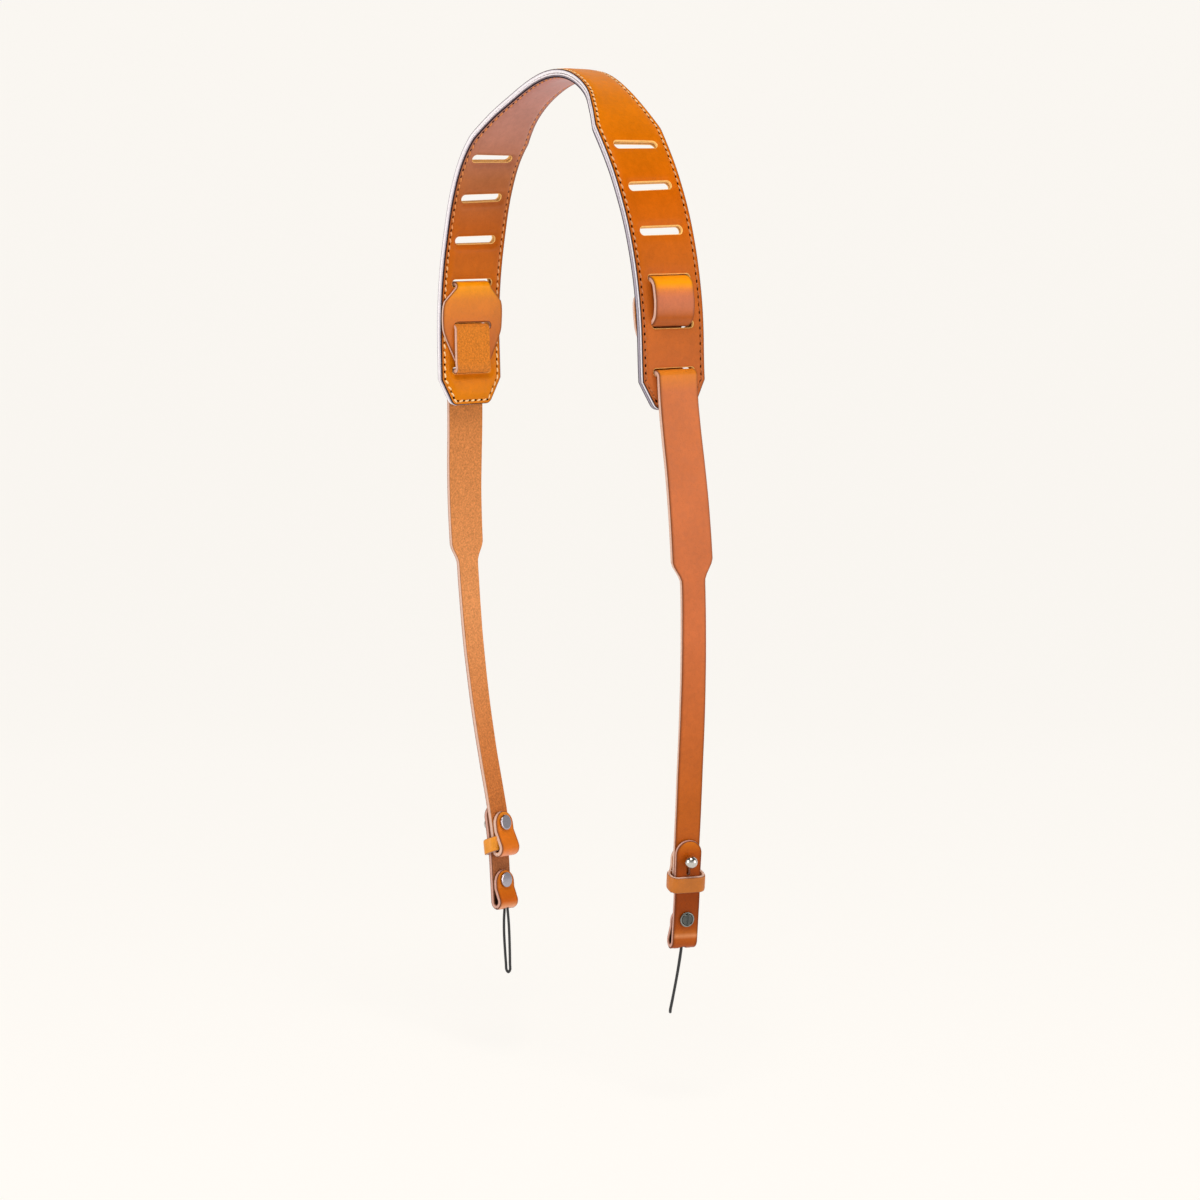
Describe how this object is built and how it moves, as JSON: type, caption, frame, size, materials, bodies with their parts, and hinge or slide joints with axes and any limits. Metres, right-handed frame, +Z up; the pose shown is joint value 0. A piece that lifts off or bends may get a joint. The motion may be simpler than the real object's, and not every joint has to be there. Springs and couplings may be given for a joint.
{
  "type": "camera neck strap",
  "caption": "Leather camera neck strap hanging in a loop: slotted padded neck piece, laced straps, button-on connector strips with keeper rings, ball studs and thin cord loops.",
  "frame": {"origin": "middle of the neck piece's inner face at the top of the bend, where the strap rests on its support", "axes": "+Z up, +X along the spread of the loop to the wearer's side shown at the right of the picture, +Y across the leather's width, away from the viewer"},
  "size_m": [0.2202, 0.0507, 0.5152],
  "materials": {
    "grain_leather": "smooth vegetable-tanned grain, waxed",
    "pale_core": "matt pale felt-like padding seen at the cut edge",
    "lining_leather": "smooth thin lining leather with a soft sheen",
    "strap_leather": "grain side smooth, flesh side napped, cut edges pale",
    "bright_leather": "smooth bright grain with a pale cut rim",
    "nickel": "polished nickel plate",
    "gunmetal": "dark turned metal with a driver slot",
    "black_cord": "fine braided black cord"
  },
  "bodies": {
    "root": {"pad_outer_leather": "grain_leather", "pad_core": "pale_core", "pad_inner_leather": "lining_leather", "strap_right": "strap_leather", "strap_left": "strap_leather", "connector_right": "strap_leather", "connector_left": "strap_leather", "keeper_right": "bright_leather", "keeper_left": "bright_leather", "ball_stud_right": "nickel", "ball_stud_left": "nickel", "stud_screw_right": "nickel", "stud_screw_left": "nickel", "connector_screw_right": "gunmetal", "connector_screw_left": "gunmetal", "screw_cap_right": "nickel", "screw_cap_left": "nickel", "cord_knot_right": "black_cord", "cord_knot_left": "black_cord", "lug_cord_right": "black_cord", "lug_cord_left": "black_cord"}
  },
  "joints": []
}
